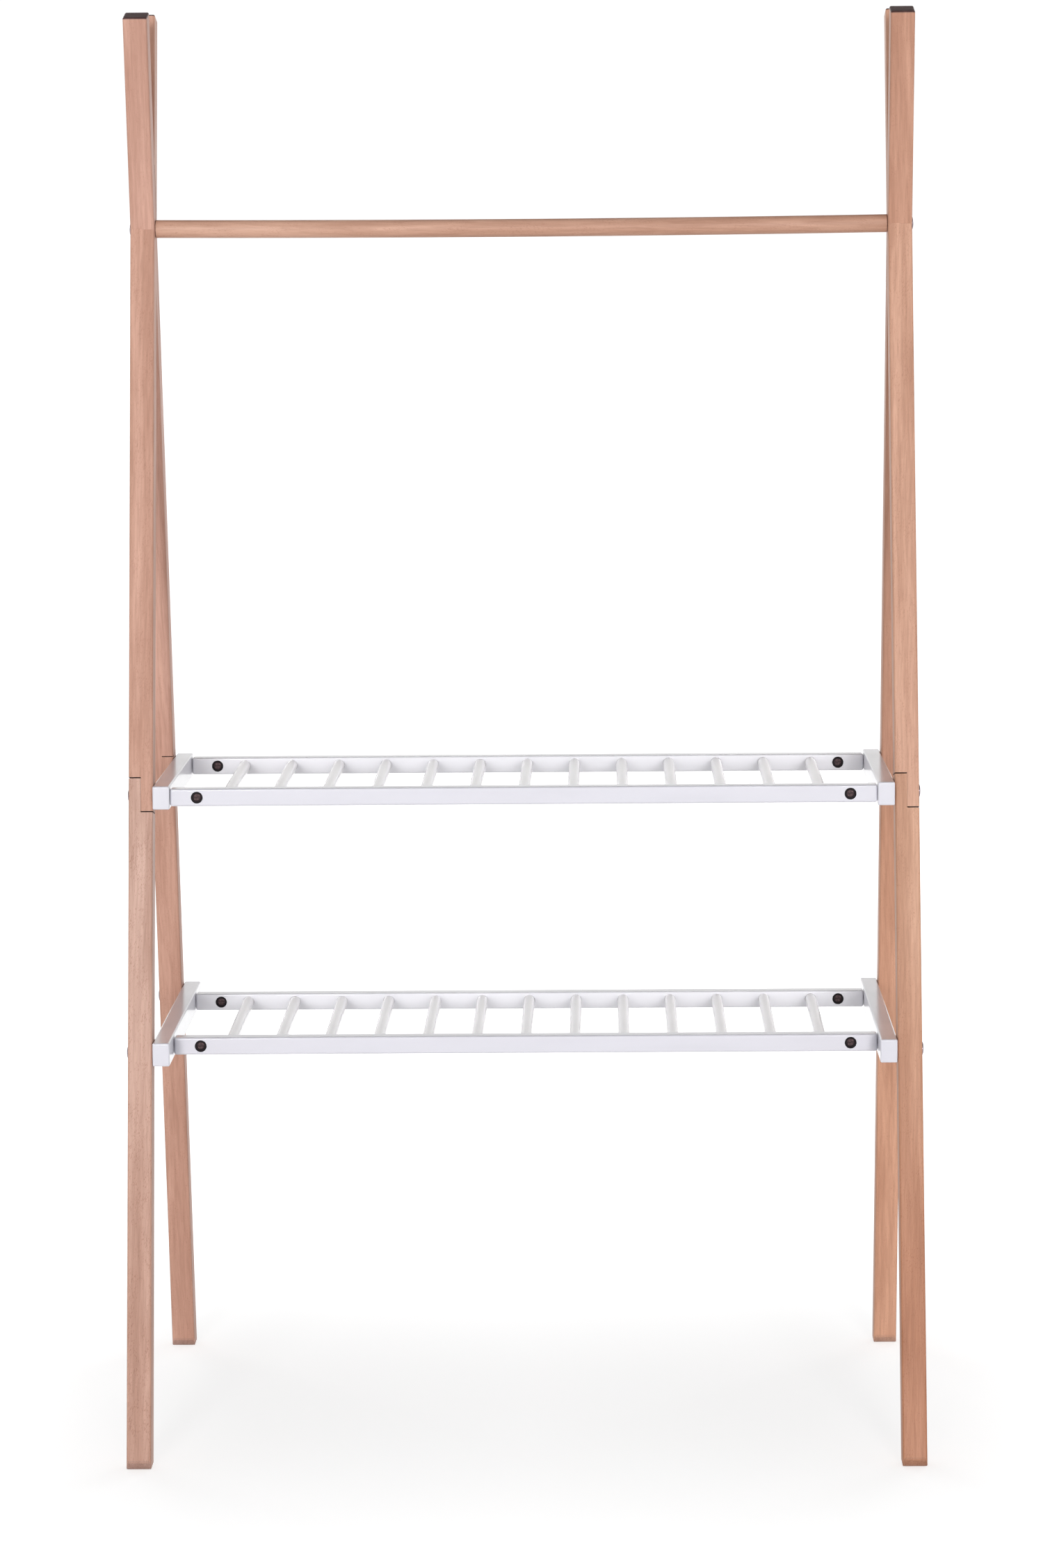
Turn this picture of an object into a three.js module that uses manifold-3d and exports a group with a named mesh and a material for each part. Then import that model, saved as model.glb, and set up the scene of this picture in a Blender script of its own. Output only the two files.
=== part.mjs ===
// A-frame clothes rack: two pairs of crossing beech legs, a round hanger rail between the crossings,
// and two white ladder shelves. Millimetres, +Z up, -Y is the front, origin on the floor at the middle.
//
// All four legs are the same part. Each is two lengths of timber, joined by a half lap at the upper
// shelf, and each pair crosses in a halving joint. Rear legs are the front legs turned about Z.

import * as THREE from 'three';
import { mergeVertices } from 'three/addons/utils/BufferGeometryUtils.js';
import Module from 'manifold-3d';

const wasm = await Module();
wasm.setup();

// ---------------------------------------------------------------- driving dimensions

const GAP = 0.3;                              // clearance between pieces that touch
const OVERSHOOT = 1;                          // a cutting tool runs this far past the face it opens
const ARC_STEPS = 2;                          // segments in a rounded corner
const ROUND_SIDES = 12;                       // sides of a small rod or a bore
const HANGER_SIDES = 24;
const DOME_STEPS = 3;                         // rings in a bolt's domed head

const FRAME_WIDTH = 810;                      // outside to outside of the legs
const LEG_THICKNESS = 25;                     // along X
const LEG_DEPTH = 30;                         // across the leg, seen from the side
const LEG_LEAN = THREE.MathUtils.degToRad(12.4);
const LEG_EDGE_RADIUS = 1.5;
const LEG_END_RADIUS = 3;
const CROSSING_HEIGHT = 1248;                 // axis of the crossing and of the hanger rail
const TIP_LENGTH = 224;                       // leg above the crossing
const LAP_LENGTH = 35;                        // half lap that joins the two lengths of a leg
const SHOULDER_GAP = 1.2;                     // open line at each shoulder of the lap

const HANGER_DIAMETER = 18.5;

const SHELVES = [
  { name: 'lower', height: 412, barLength: 402 },
  { name: 'upper', height: 670, barLength: 304 },
];
const BAR_WIDTH = 17.5;                       // end bar, along X
const BAR_HEIGHT = 24;
const BAR_END_RADIUS = 2;
const BAR_EDGE_RADIUS = 1.5;
const RAIL_SIZE = 18;                         // square shelf rail
const RAIL_EDGE_RADIUS = 2;
const RAIL_END_RADIUS = 1.5;
const RAIL_SPACING = 280;                     // between the axes of a shelf's two rails

const SLAT_COUNT = 13;
const SLAT_PITCH = 50.8;
const SLAT_DIAMETER = 12;
const TENON_LENGTH = 8;                       // slat end inside its rail

const BOLT_DIAMETER = 6;
const BOLT_HEAD_DIAMETER = 13;                // low domed head on the outside of a leg
const BOLT_HEAD_HEIGHT = 2.1;
const BOLT_REACH = 13;                        // bolt end inside the end bar
const HEX_KEY = 4;                            // across flats
const HEX_DEPTH = 1.5;
const HEX_SIDES = 6;
const INSERT_DIAMETER = 8.5;                  // threaded insert that the bolt screws into
const INSERT_LENGTH = 12;

const SUNK_HEAD_DIAMETER = 11;                // cylindrical head let into the end bar
const SUNK_HEAD_HEIGHT = 4;
const BARREL_DIAMETER = 12;                   // cross dowel nut in a shelf rail
const BARREL_LENGTH = 16;
const BARREL_FROM_RAIL_END = 27.5;
const BARREL_SLOT_WIDTH = 1.6;
const BARREL_SLOT_DEPTH = 1;
const BOLT_PAST_BARREL = 8;                   // bolt end beyond the barrel's axis

// ---------------------------------------------------------------- derived dimensions

const LEG_X = (FRAME_WIDTH - LEG_THICKNESS) / 2;
const LEG_OUTER_X = FRAME_WIDTH / 2;
const LEG_INNER_X = LEG_OUTER_X - LEG_THICKNESS;
const BAR_OUTER_X = LEG_INNER_X - GAP;
const BAR_INNER_X = BAR_OUTER_X - BAR_WIDTH;
const RAIL_LENGTH = 2 * (BAR_INNER_X - GAP);
const RAIL_Y = RAIL_SPACING / 2;
const SLAT_LENGTH = RAIL_SPACING - RAIL_SIZE + 2 * TENON_LENGTH;
const BARREL_X = RAIL_LENGTH / 2 - BARREL_FROM_RAIL_END;

const alongLeg = (height) => (height - CROSSING_HEIGHT) / Math.cos(LEG_LEAN);
const legY = (height) => (height - CROSSING_HEIGHT) * Math.tan(LEG_LEAN);
const LAP_CENTRE = alongLeg(SHELVES[1].height);

// ---------------------------------------------------------------- materials

const beech = new THREE.MeshStandardMaterial({ color: 0xd4a58e, roughness: 0.6, metalness: 0 });
const whitePaint = new THREE.MeshStandardMaterial({ color: 0xe8e8f0, roughness: 0.4, metalness: 0 });
const darkSteel = new THREE.MeshStandardMaterial({ color: 0x2c2426, roughness: 0.45, metalness: 0.8 });

// ---------------------------------------------------------------- solids

function solid(geometry) {
  const plain = geometry.clone();
  plain.deleteAttribute('normal');
  plain.deleteAttribute('uv');
  const merged = mergeVertices(plain, 1e-4);
  return new wasm.Manifold(new wasm.Mesh({
    numProp: 3,
    vertProperties: new Float32Array(merged.attributes.position.array),
    triVerts: new Uint32Array(merged.index.array),
  }));
}

function geometryOf(manifold) {
  const mesh = manifold.getMesh();
  const geometry = new THREE.BufferGeometry();
  const positions = new Float32Array(mesh.vertProperties);
  geometry.setAttribute('position', new THREE.BufferAttribute(positions, 3));
  geometry.setIndex(new THREE.BufferAttribute(new Uint32Array(mesh.triVerts), 1));
  geometry.computeVertexNormals();
  return geometry;
}

// Outline through the corners [y, z], each corner rounded.
function roundedOutline(corners, radius) {
  const points = corners.map(([y, z]) => new THREE.Vector2(y, z));
  const shape = new THREE.Shape();
  points.forEach((corner, i) => {
    const before = points[(i + points.length - 1) % points.length];
    const after = points[(i + 1) % points.length];
    const start = corner.clone().add(before.clone().sub(corner).setLength(radius));
    const end = corner.clone().add(after.clone().sub(corner).setLength(radius));
    if (i === 0) shape.moveTo(start.x, start.y);
    else shape.lineTo(start.x, start.y);
    shape.quadraticCurveTo(corner.x, corner.y, end.x, end.y);
  });
  shape.closePath();
  return shape;
}

// Solid with an outline in the YZ plane and a thickness along X, centred on x = 0, with rounded rims.
function slab(shape, thickness, rimRadius) {
  const geometry = new THREE.ExtrudeGeometry(shape, {
    depth: thickness - 2 * rimRadius,
    curveSegments: ARC_STEPS,
    bevelThickness: rimRadius,
    bevelSize: rimRadius,
    bevelOffset: -rimRadius,
    bevelSegments: 1,
  });
  geometry.translate(0, 0, rimRadius - thickness / 2);
  const toYZ = new THREE.Matrix4().makeBasis(
    new THREE.Vector3(0, 1, 0),
    new THREE.Vector3(0, 0, 1),
    new THREE.Vector3(1, 0, 0),
  );
  geometry.applyMatrix4(toYZ);
  return solid(geometry);
}

function rectangle(length, height) {
  const y = length / 2;
  const z = height / 2;
  return [[-y, -z], [y, -z], [y, z], [-y, z]];
}

function box(x0, x1, y0, y1, z0, z1) {
  const geometry = new THREE.BoxGeometry(x1 - x0, y1 - y0, z1 - z0);
  geometry.translate((x0 + x1) / 2, (y0 + y1) / 2, (z0 + z1) / 2);
  return solid(geometry);
}

// Rod along X from x0 to x1. A bore's flats stay outside its radius, so it clears a round rod.
function rodX(diameter, x0, x1, y = 0, z = 0, sides = ROUND_SIDES) {
  const geometry = new THREE.CylinderGeometry(diameter / 2, diameter / 2, x1 - x0, sides);
  geometry.rotateZ(Math.PI / 2);
  geometry.translate((x0 + x1) / 2, y, z);
  return solid(geometry);
}

function rodY(diameter, y0, y1, x = 0, z = 0, sides = ROUND_SIDES) {
  const geometry = new THREE.CylinderGeometry(diameter / 2, diameter / 2, y1 - y0, sides);
  geometry.translate(x, (y0 + y1) / 2, z);
  return solid(geometry);
}

const boreDiameter = (rodDiameter) => (rodDiameter + 2 * GAP) / Math.cos(Math.PI / ROUND_SIDES);

// ---------------------------------------------------------------- legs, along Z with the crossing at 0

const LEG_HALF = LEG_DEPTH / 2;
const THROUGH = LEG_THICKNESS;                // cutting tools run well past the leg's faces
const NOTCH_HALF_LENGTH = 3 * LEG_DEPTH;      // past both edges of the leg at its shallow angle

function crossingNotch() {
  const notch = box(
    -GAP / 2, THROUGH,
    -LEG_HALF - GAP, LEG_HALF + GAP,
    -NOTCH_HALF_LENGTH, NOTCH_HALF_LENGTH,
  );
  return notch.rotate([THREE.MathUtils.radToDeg(2 * LEG_LEAN), 0, 0]);
}

function legBore(z) {
  return rodX(boreDiameter(BOLT_DIAMETER), -THROUGH, THROUGH, 0, z);
}

function upperLeg() {
  const bottom = LAP_CENTRE - LAP_LENGTH / 2;
  const shoulder = LAP_CENTRE + LAP_LENGTH / 2;
  const outline = roundedOutline([
    [-LEG_HALF, bottom], [LEG_HALF, bottom], [LEG_HALF, TIP_LENGTH], [-LEG_HALF, TIP_LENGTH],
  ], LEG_END_RADIUS);
  return slab(outline, LEG_THICKNESS, LEG_EDGE_RADIUS)
    .subtract(box(-THROUGH, GAP / 2, -LEG_DEPTH, LEG_DEPTH, bottom - OVERSHOOT, shoulder))
    .subtract(crossingNotch())
    .subtract(legBore(0))
    .subtract(legBore(LAP_CENTRE));
}

function lowerLeg() {
  const top = LAP_CENTRE + LAP_LENGTH / 2 - SHOULDER_GAP;
  const shoulder = LAP_CENTRE - LAP_LENGTH / 2 - SHOULDER_GAP;
  const footZ = (y) => alongLeg(0) + y * Math.tan(LEG_LEAN);
  const outline = roundedOutline([
    [-LEG_HALF, footZ(-LEG_HALF)], [LEG_HALF, footZ(LEG_HALF)], [LEG_HALF, top], [-LEG_HALF, top],
  ], LEG_END_RADIUS);
  return slab(outline, LEG_THICKNESS, LEG_EDGE_RADIUS)
    .subtract(box(-GAP / 2, THROUGH, -LEG_DEPTH, LEG_DEPTH, shoulder, top + OVERSHOOT))
    .subtract(legBore(LAP_CENTRE))
    .subtract(legBore(alongLeg(SHELVES[0].height)));
}

// ---------------------------------------------------------------- shelves, centred on their own middle

function endBar(shelf) {
  const outer = BAR_WIDTH / 2;
  const outline = roundedOutline(rectangle(shelf.barLength, BAR_HEIGHT), BAR_END_RADIUS);
  let bar = slab(outline, BAR_WIDTH, BAR_EDGE_RADIUS);
  for (const side of [-1, 1]) {
    const y = side * legY(shelf.height);
    const insertEnd = outer - INSERT_LENGTH - 2 * GAP;
    const boltEnd = outer - BOLT_REACH - GAP;
    const headSeat = outer - SUNK_HEAD_HEIGHT - 2 * GAP;
    const open = outer + OVERSHOOT;
    bar = bar
      .subtract(rodX(boreDiameter(INSERT_DIAMETER), insertEnd, open, y))
      .subtract(rodX(boreDiameter(BOLT_DIAMETER), boltEnd, open, y))
      .subtract(rodX(boreDiameter(BOLT_DIAMETER), -open, open, side * RAIL_Y))
      .subtract(rodX(boreDiameter(SUNK_HEAD_DIAMETER), headSeat, open, side * RAIL_Y));
  }
  return bar;
}

const slatX = (i) => (i - (SLAT_COUNT - 1) / 2) * SLAT_PITCH;

// Front rail: its slat sockets open to +Y.
function shelfRail() {
  const outline = roundedOutline(rectangle(RAIL_SIZE, RAIL_SIZE), RAIL_EDGE_RADIUS);
  const half = RAIL_SIZE / 2;
  const end = RAIL_LENGTH / 2;
  let rail = slab(outline, RAIL_LENGTH, RAIL_END_RADIUS);
  const socketFloor = half - TENON_LENGTH - GAP;
  for (let i = 0; i < SLAT_COUNT; i++) {
    rail = rail.subtract(rodY(boreDiameter(SLAT_DIAMETER), socketFloor, half + OVERSHOOT, slatX(i)));
  }
  for (const side of [-1, 1]) {
    const boreEnd = BARREL_X - BOLT_PAST_BARREL - GAP;
    const bore = [side * boreEnd, side * (end + OVERSHOOT)].sort((a, b) => a - b);
    rail = rail
      .subtract(rodX(boreDiameter(BOLT_DIAMETER), ...bore))
      .subtract(rodY(boreDiameter(BARREL_DIAMETER), -RAIL_SIZE, RAIL_SIZE, side * BARREL_X));
  }
  return rail;
}

function slat() {
  return rodY(SLAT_DIAMETER, -SLAT_LENGTH / 2, SLAT_LENGTH / 2);
}

// ---------------------------------------------------------------- fasteners, head outside at +X

function hexSocket(faceX) {
  const hexAcrossCorners = HEX_KEY / Math.cos(Math.PI / HEX_SIDES);
  return rodX(hexAcrossCorners, faceX - HEX_DEPTH, faceX + OVERSHOOT, 0, 0, HEX_SIDES);
}

// Domed head on x = 0, its shank running to -X.
function domedBolt(shankLength) {
  const radius = BOLT_HEAD_DIAMETER / 2;
  const rim = BOLT_HEAD_HEIGHT / 3;
  const profile = [
    new THREE.Vector2(0, -shankLength),
    new THREE.Vector2(BOLT_DIAMETER / 2, -shankLength),
    new THREE.Vector2(BOLT_DIAMETER / 2, 0),
    new THREE.Vector2(radius, 0),
  ];
  for (let i = 0; i <= DOME_STEPS; i++) {
    const angle = (i / DOME_STEPS) * Math.PI / 2;
    profile.push(new THREE.Vector2(
      i === DOME_STEPS ? 0 : radius * Math.cos(angle),
      rim + (BOLT_HEAD_HEIGHT - rim) * Math.sin(angle),
    ));
  }
  const geometry = new THREE.LatheGeometry(profile, ROUND_SIDES);
  geometry.rotateZ(-Math.PI / 2);
  return solid(geometry).subtract(hexSocket(BOLT_HEAD_HEIGHT));
}

// Bolt through a leg into an end bar, with the threaded insert that it screws into.
function legBolt() {
  const barFace = -(GAP + LEG_THICKNESS + GAP);
  const bolt = domedBolt(-barFace + BOLT_REACH);
  return bolt.add(rodX(INSERT_DIAMETER, barFace - GAP - INSERT_LENGTH, barFace - GAP));
}

// Bolt through an end bar into a shelf rail, with the barrel nut that it screws into at x = 0.
function shelfBolt() {
  const headEnd = BAR_OUTER_X - GAP - BARREL_X;
  const headStart = headEnd - SUNK_HEAD_HEIGHT;
  const half = BARREL_LENGTH / 2;
  let bolt = rodX(BOLT_DIAMETER, -BOLT_PAST_BARREL, headEnd - HEX_DEPTH)
    .add(rodX(SUNK_HEAD_DIAMETER, headStart, headEnd))
    .add(rodY(BARREL_DIAMETER, -half, half))
    .subtract(hexSocket(headEnd));
  for (const side of [-1, 1]) {
    const slot = [side * (half - BARREL_SLOT_DEPTH), side * (half + OVERSHOOT)].sort((a, b) => a - b);
    const slotHalf = BARREL_SLOT_WIDTH / 2;
    bolt = bolt.subtract(box(-BARREL_DIAMETER, BARREL_DIAMETER, ...slot, -slotHalf, slotHalf));
  }
  return bolt;
}

// Round rail with the domed bolt that holds it screwed into each end.
function hangerRail() {
  const end = LEG_INNER_X - GAP;
  const rail = rodX(HANGER_DIAMETER, -end, end, 0, 0, HANGER_SIDES);
  const headSeat = LEG_OUTER_X + GAP;
  const bolt = domedBolt(headSeat - end + OVERSHOOT).translate([headSeat, 0, 0]);
  return rail.add(bolt).add(bolt.rotate([0, 0, 180]));
}

// ---------------------------------------------------------------- assembly

const rack = new THREE.Group();

function piece(name, geometry, material, parent) {
  const mesh = new THREE.Mesh(geometry, material);
  mesh.name = name;
  parent.add(mesh);
  return mesh;
}

function turned(parent, half) {
  const group = new THREE.Group();
  group.rotation.z = half ? Math.PI : 0;
  parent.add(group);
  return group;
}

const upperLegShape = geometryOf(upperLeg());
const lowerLegShape = geometryOf(lowerLeg());
const railShape = geometryOf(shelfRail());
const slatShape = geometryOf(slat());
const legBoltShape = geometryOf(legBolt());
const shelfBoltShape = geometryOf(shelfBolt());

// The half turn about Z swaps left and right as well as front and rear.
const HALVES = [
  { row: 'front', half: false, sides: [['left', -1], ['right', 1]] },
  { row: 'rear', half: true, sides: [['right', -1], ['left', 1]] },
];

for (const { row, half, sides } of HALVES) {
  const group = turned(rack, half);
  for (const [side, sign] of sides) {
    for (const [length, shape] of [['upper', upperLegShape], ['lower', lowerLegShape]]) {
      const leg = piece(`${row}_${side}_leg_${length}`, shape, beech, group);
      leg.position.set(sign * LEG_X, 0, CROSSING_HEIGHT);
      leg.rotation.x = -LEG_LEAN;
    }
    for (const shelf of SHELVES) {
      const joint = `${row}_${side}_${shelf.name}`;
      const intoBar = piece(`${joint}_leg_bolt`, legBoltShape, darkSteel, group);
      intoBar.position.set(sign * (LEG_OUTER_X + GAP), legY(shelf.height), shelf.height);
      intoBar.rotation.z = sign < 0 ? Math.PI : 0;
      const intoRail = piece(`${joint}_shelf_bolt`, shelfBoltShape, darkSteel, group);
      intoRail.position.set(sign * BARREL_X, -RAIL_Y, shelf.height);
      intoRail.rotation.z = sign < 0 ? Math.PI : 0;
    }
  }
  for (const shelf of SHELVES) {
    const rail = piece(`${shelf.name}_shelf_${row}_rail`, railShape, whitePaint, group);
    rail.position.set(0, -RAIL_Y, shelf.height);
  }
}

for (const shelf of SHELVES) {
  const barShape = geometryOf(endBar(shelf));
  for (const [side, sign] of [['left', -1], ['right', 1]]) {
    const bar = piece(`${shelf.name}_shelf_${side}_end_bar`, barShape, whitePaint, rack);
    bar.position.set(sign * (BAR_OUTER_X - BAR_WIDTH / 2), 0, shelf.height);
    bar.rotation.z = sign < 0 ? Math.PI : 0;
  }
  for (let i = 0; i < SLAT_COUNT; i++) {
    const number = String(i + 1).padStart(2, '0');
    const slatMesh = piece(`${shelf.name}_shelf_slat_${number}`, slatShape, whitePaint, rack);
    slatMesh.position.set(slatX(i), 0, shelf.height);
  }
}

const hanger = piece('hanger_rail_with_end_bolts', geometryOf(hangerRail()), beech, rack);
hanger.position.set(0, 0, CROSSING_HEIGHT);

export default rack;
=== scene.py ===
"""A-frame clothes rack: the looks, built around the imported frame. Metres, +Z up, -Y is the front.

Every length of timber, dowel and fitting is its own piece, made with its length along its own Z axis
and then set in place, so the grain follows that axis.
"""

import itertools
import math

import bmesh
import bpy
from mathutils import Matrix, Vector


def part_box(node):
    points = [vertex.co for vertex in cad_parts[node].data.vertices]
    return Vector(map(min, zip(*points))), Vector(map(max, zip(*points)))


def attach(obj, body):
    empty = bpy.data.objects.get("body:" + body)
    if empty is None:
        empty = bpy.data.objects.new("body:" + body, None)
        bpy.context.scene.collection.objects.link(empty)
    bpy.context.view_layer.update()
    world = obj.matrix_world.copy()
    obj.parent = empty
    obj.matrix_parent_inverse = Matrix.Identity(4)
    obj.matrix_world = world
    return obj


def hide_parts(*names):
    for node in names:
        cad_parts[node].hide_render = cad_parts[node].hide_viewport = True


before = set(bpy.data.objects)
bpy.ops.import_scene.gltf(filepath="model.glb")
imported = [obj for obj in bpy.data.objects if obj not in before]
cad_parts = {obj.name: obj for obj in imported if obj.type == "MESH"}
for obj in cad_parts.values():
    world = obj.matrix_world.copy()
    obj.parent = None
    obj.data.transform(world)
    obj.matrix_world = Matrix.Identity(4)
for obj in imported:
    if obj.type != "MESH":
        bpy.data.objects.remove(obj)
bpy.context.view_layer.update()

# ---------------------------------------------------------------- sizes the frame doesn't hold

MM = 0.001

LEG_EDGE_RADIUS = 2.2 * MM
LEG_TIP_RADIUS = 1.8 * MM
LEG_FOOT_RADIUS = 11 * MM          # front and rear edges of a foot
LEG_FOOT_SIDE_RADIUS = 2.8 * MM
SHOULDER_GAP = 1.2 * MM
SEAM = 0.14 * MM                   # joint lines in the laps

BAR_EDGE_RADIUS = 1.6 * MM
RAIL_EDGE_RADIUS = 2.0 * MM
RAIL_END_RADIUS = 2.4 * MM
SLAT_DEPTH = 8 * MM                # slat end inside its rail
SLAT_END_RADIUS = 0.8 * MM
SOCKET_ROOM = 0.1 * MM             # fine line round a slat or a barrel nut

HANGER_SAG = 1.8 * MM
HANGER_END_RADIUS = 0.8 * MM
HANGER_STEPS = 40                  # rings along the rail, which the sag bends

BOLT_RADIUS = 3 * MM
THREAD_PITCH = 1 * MM
THREAD_HEIGHT = 0.45 * MM
THREAD_ROOM = 0.05 * MM            # between a bolt and the bore of its insert
BOLT_REACH = 13 * MM               # leg bolt inside the end bar
DOME_RADIUS = 6.5 * MM
DOME_HEIGHT = 2.1 * MM
DOME_STEPS = 8
SOCKET_KEY = 4 * MM                # hexagon, across flats
SOCKET_SINK = 1.5 * MM
INSERT_RADIUS = 4.25 * MM
INSERT_LENGTH = 12 * MM
SUNK_HEAD_RADIUS = 5.5 * MM
SUNK_HEAD_HEIGHT = 4 * MM
SUNK_HEAD_EDGE = 0.5 * MM
NUT_RADIUS = 6 * MM
NUT_HALF_LENGTH = 8 * MM
NUT_EDGE = 0.5 * MM
NUT_DISH_RADIUS = 3.7 * MM         # shallow dish in each end of a barrel nut
NUT_DISH_DEPTH = 0.7 * MM
NUT_DISH_SLOPE = 0.25 * MM         # width of the dish's sloping side
NUT_SLOT_WIDTH = 1.4 * MM
NUT_SLOT_DEPTH = 1.5 * MM
BOLT_PAST_NUT = 2 * MM             # end of a connector bolt beyond its barrel nut
BORE_PAST_BOLT = 0.3 * MM

CURVE_STEPS = 6                    # segments in a rounded edge
ROUND_SIDES = 48
BORE_SIDES = 24
SHARP_ANGLE = math.radians(38)


# ---------------------------------------------------------------- places, from the frame

def middle(node):
    low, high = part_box(node)
    return (low + high) / 2


def size(node):
    low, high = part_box(node)
    return high - low


HANGER = "hanger_rail_with_end_bolts"
CROSSING = middle(HANGER).z
HANGER_RADIUS = size(HANGER).z / 2
LEG_X = middle("front_right_leg_upper").x
LEG_HALF_X = size("front_right_leg_upper").x / 2
FAR_BOLT = middle("front_right_lower_leg_bolt")
LEAN = math.atan2(-FAR_BOLT.y, CROSSING - FAR_BOLT.z)
SIDES = {"left": -1, "right": 1}
ROWS = ("front", "rear")
SHELVES = ("upper", "lower")

HALF_TURN = Matrix.Rotation(math.pi, 4, "Z")
ALONG_X = Matrix.Rotation(math.pi / 2, 4, "Y")
ALONG_Y = Matrix.Rotation(-math.pi / 2, 4, "X")
OUTWARD = {-1: Matrix.Rotation(-math.pi / 2, 4, "Y"), 1: ALONG_X}


def leg_place(row, sign):
    """Front legs lean back. A rear leg is the front leg of the other side, turned about Z."""
    place = Matrix.Translation((sign * LEG_X, 0, CROSSING)) @ Matrix.Rotation(-LEAN, 4, "X")
    return place if row == "front" else HALF_TURN @ place


def mirrored(point, sign):
    """The point, or its mirror image on the left where sign is -1."""
    x, y, z = point
    return (sign * x, y, z)


def own_box(node, place):
    """Lowest and highest corners of a CAD node in a piece's own axes."""
    corners = [place.inverted() @ vertex.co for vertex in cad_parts[node].data.vertices]
    low = Vector(min(c[i] for c in corners) for i in range(3))
    high = Vector(max(c[i] for c in corners) for i in range(3))
    return low, high


# ---------------------------------------------------------------- mesh code

def to_object(name, shape):
    mesh = bpy.data.meshes.new(name)
    bmesh.ops.recalc_face_normals(shape, faces=shape.faces)
    shape.to_mesh(mesh)
    shape.free()
    made = bpy.data.objects.new(name, mesh)
    bpy.context.scene.collection.objects.link(made)
    return made


def settle(made):
    """Applies the modifiers."""
    depsgraph = bpy.context.evaluated_depsgraph_get()
    mesh = bpy.data.meshes.new_from_object(made.evaluated_get(depsgraph))
    made.modifiers.clear()
    made.data = mesh


def cut(made, tools):
    for tool in tools:
        modifier = made.modifiers.new("cut", "BOOLEAN")
        modifier.operation = "DIFFERENCE"
        modifier.solver = "EXACT"
        modifier.object = tool
    settle(made)
    for tool in tools:
        bpy.data.objects.remove(tool)


def block(low, high, place=Matrix.Identity(4)):
    """Cutting block between two corners."""
    shape = bmesh.new()
    bmesh.ops.create_cube(shape, size=1)
    for vertex in shape.verts:
        share = vertex.co + Vector((0.5, 0.5, 0.5))
        vertex.co = place @ Vector(l + s * (h - l) for l, s, h in zip(low, share, high))
    return to_object("tool", shape)


def timber(name, half_x, half_y, z_low, z_high, edge, low_end, high_end, slope=0.0, low_side=None):
    """Squared timber along Z, with a radius for each group of edges. The slope tilts its low end in Y.

    The low end's edges along X have the radius low_end, and those along Y have low_side if it is given.
    """
    shape = bmesh.new()
    bmesh.ops.create_cube(shape, size=2)
    for vertex in shape.verts:
        x, y, z = vertex.co
        level = z_high if z > 0 else z_low + y * half_y * slope
        vertex.co = (x * half_x, y * half_y, level)
    low_side = low_end if low_side is None else low_side
    widest = max(edge, low_end, low_side, high_end)
    weight = shape.edges.layers.float.new("bevel_weight_edge")
    split = (z_low + z_high) / 2
    for one in shape.edges:
        first, last = (vertex.co for vertex in one.verts)
        radius = low_end if abs(first.x - last.x) > half_x else low_side
        if first.z > split or last.z > split:
            radius = high_end if first.z > split and last.z > split else edge
        one[weight] = radius / widest
    made = to_object(name, shape)
    bevel = made.modifiers.new("bevel", "BEVEL")
    bevel.limit_method = "WEIGHT"
    bevel.width = widest
    bevel.segments = CURVE_STEPS
    bevel.use_clamp_overlap = True
    settle(made)
    return made


def turning(name, profile, sides=ROUND_SIDES, place=Matrix.Identity(4)):
    """Turned solid about Z. The profile is (radius, z) points, from the axis to the axis."""
    shape = bmesh.new()
    rings = []
    for radius, z in profile:
        if radius == 0:
            rings.append([shape.verts.new(place @ Vector((0, 0, z)))])
            continue
        angles = [2 * math.pi * i / sides for i in range(sides)]
        ring = [place @ Vector((radius * math.cos(a), radius * math.sin(a), z)) for a in angles]
        rings.append([shape.verts.new(point) for point in ring])
    for before, after in zip(rings, rings[1:]):
        for i in range(sides):
            corners = [before[i % len(before)], before[(i + 1) % len(before)]]
            corners += [after[(i + 1) % len(after)], after[i % len(after)]]
            shape.faces.new(list(dict.fromkeys(corners)))
    return to_object(name, shape)


def rod(radius, z_low, z_high, place=Matrix.Identity(4), sides=ROUND_SIDES):
    """Round cutting tool along its Z."""
    return turning("tool", [(0, z_low), (radius, z_low), (radius, z_high), (0, z_high)], sides, place)


def rounded(radius, z, end_radius, direction, steps=CURVE_STEPS):
    """Profile points of a rounded rim, from the side to the end if direction is 1."""
    turns = [math.pi / 2 * i / steps for i in range(steps + 1)]
    points = [
        (radius - end_radius * (1 - math.cos(t)), z - direction * end_radius * (1 - math.sin(t)))
        for t in turns
    ]
    return points if direction > 0 else points[::-1]


def threaded(radius, z_low, z_high):
    """Profile points of ring-shaped threads, from z_low to z_high."""
    count = int((z_high - z_low) / THREAD_PITCH)
    points = []
    for i in range(count):
        z = z_low + i * THREAD_PITCH
        points += [(radius - THREAD_HEIGHT, z), (radius, z + THREAD_PITCH / 2)]
    return points + [(radius - THREAD_HEIGHT, z_low + count * THREAD_PITCH)]


def finish_mesh(made):
    """Smooth shading with flat faces kept flat, and how much of each face is end grain."""
    mesh = made.data
    mesh.shade_smooth()
    mesh.set_sharp_from_angle(angle=SHARP_ANGLE)
    weighted = made.modifiers.new("normals", "WEIGHTED_NORMAL")
    weighted.keep_sharp = True
    settle(made)
    mesh = made.data
    end_grain = mesh.attributes.new("end_grain", "FLOAT", "FACE")
    end_grain.data.foreach_set("value", [abs(face.normal.z) for face in mesh.polygons])


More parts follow.
